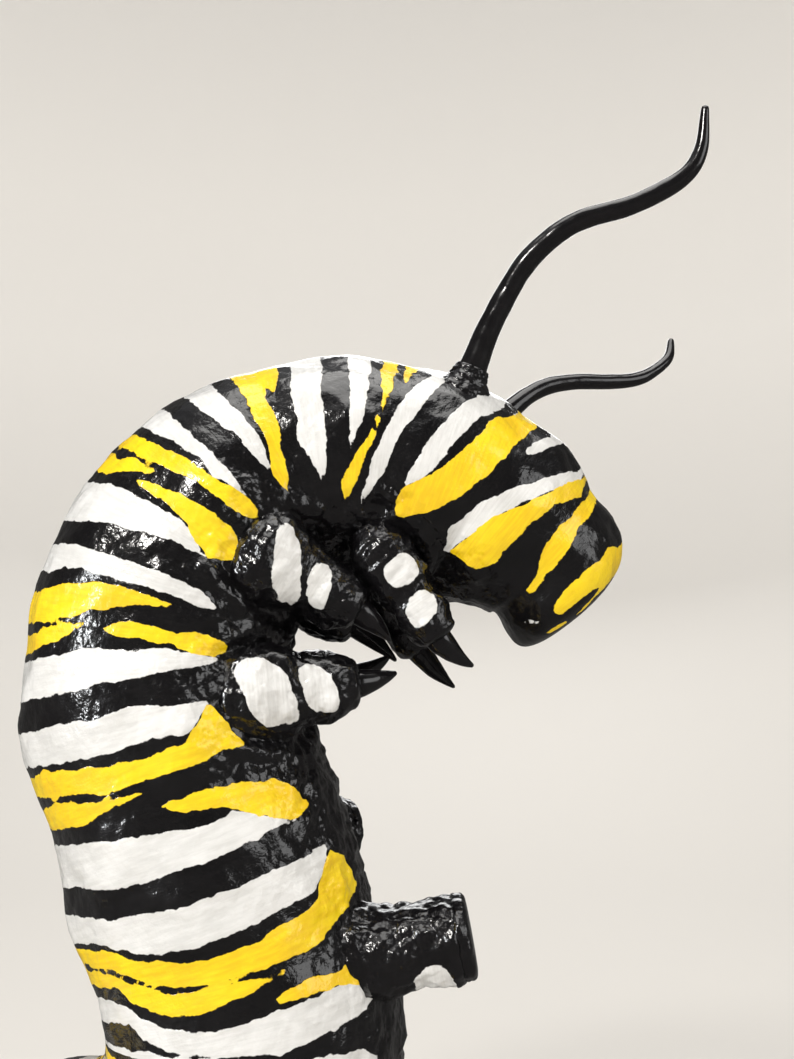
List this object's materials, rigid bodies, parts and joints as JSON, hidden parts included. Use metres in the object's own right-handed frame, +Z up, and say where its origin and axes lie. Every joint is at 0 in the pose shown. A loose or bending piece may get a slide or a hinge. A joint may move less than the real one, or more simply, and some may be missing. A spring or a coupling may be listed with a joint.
{
  "type": "papier-mache larva figure",
  "caption": "Rearing larva figure in painted papier-mache: arched segmented body, striped skin, stub legs with claws, curved tentacles and round-soled prolegs.",
  "frame": {"origin": "on the ground under the middle of the whole figure's box", "axes": "+Z up, +X the way the head faces, +Y towards the figure's left side"},
  "size_m": [0.495, 0.136, 0.6072],
  "materials": {
    "striped_paper_skin": "hand-painted white, black and yellow stripes under gloss varnish",
    "blotched_paper": "black paint with white blotches under gloss varnish",
    "black_paper": "lumpy papier-mache painted black under gloss varnish",
    "black_gloss_clay": "smooth air-dried clay over wire, painted gloss black",
    "former_card": "plain cut card, inside the figure",
    "armature_wire": "plain steel rod and wire, inside the figure"
  },
  "bodies": {
    "root": {"abdomen_skin_01": "striped_paper_skin", "abdomen_skin_02": "striped_paper_skin", "abdomen_skin_03": "striped_paper_skin", "abdomen_skin_04": "striped_paper_skin", "abdomen_skin_05": "striped_paper_skin", "abdomen_skin_06": "striped_paper_skin", "abdomen_skin_07": "striped_paper_skin", "abdomen_skin_08": "striped_paper_skin", "abdomen_skin_09": "striped_paper_skin", "abdomen_skin_10": "striped_paper_skin", "anal_proleg_left": "black_paper", "anal_proleg_right": "black_paper", "anal_sole_left": "black_paper", "anal_sole_right": "black_paper", "claw_1_left": "black_gloss_clay", "claw_1_right": "black_gloss_clay", "claw_2_left": "black_gloss_clay", "claw_2_right": "black_gloss_clay", "claw_3_left": "black_gloss_clay", "claw_3_right": "black_gloss_clay", "former_discs": "former_card", "front_collar_left": "black_paper", "front_collar_right": "black_paper", "front_tentacle_left": "black_gloss_clay", "front_tentacle_right": "black_gloss_clay", "head_shell": "striped_paper_skin", "leg_1_left": "blotched_paper", "leg_1_right": "blotched_paper", "leg_2_left": "blotched_paper", "leg_2_right": "blotched_paper", "leg_3_left": "blotched_paper", "leg_3_right": "blotched_paper", "proleg_1_left": "black_paper", "proleg_1_right": "black_paper", "proleg_2_left": "black_paper", "proleg_2_right": "black_paper", "proleg_3_left": "black_paper", "proleg_3_right": "black_paper", "proleg_4_left": "black_paper", "proleg_4_right": "black_paper", "rear_collar_left": "black_paper", "rear_collar_right": "black_paper", "rear_tentacle_left": "black_gloss_clay", "rear_tentacle_right": "black_gloss_clay", "sole_1_left": "black_paper", "sole_1_right": "black_paper", "sole_2_left": "black_paper", "sole_2_right": "black_paper", "sole_3_left": "black_paper", "sole_3_right": "black_paper", "sole_4_left": "black_paper", "sole_4_right": "black_paper", "spine_rod": "armature_wire", "tentacle_wires": "armature_wire", "thorax_skin_1": "striped_paper_skin", "thorax_skin_2": "striped_paper_skin", "thorax_skin_3": "striped_paper_skin"}
  },
  "joints": []
}
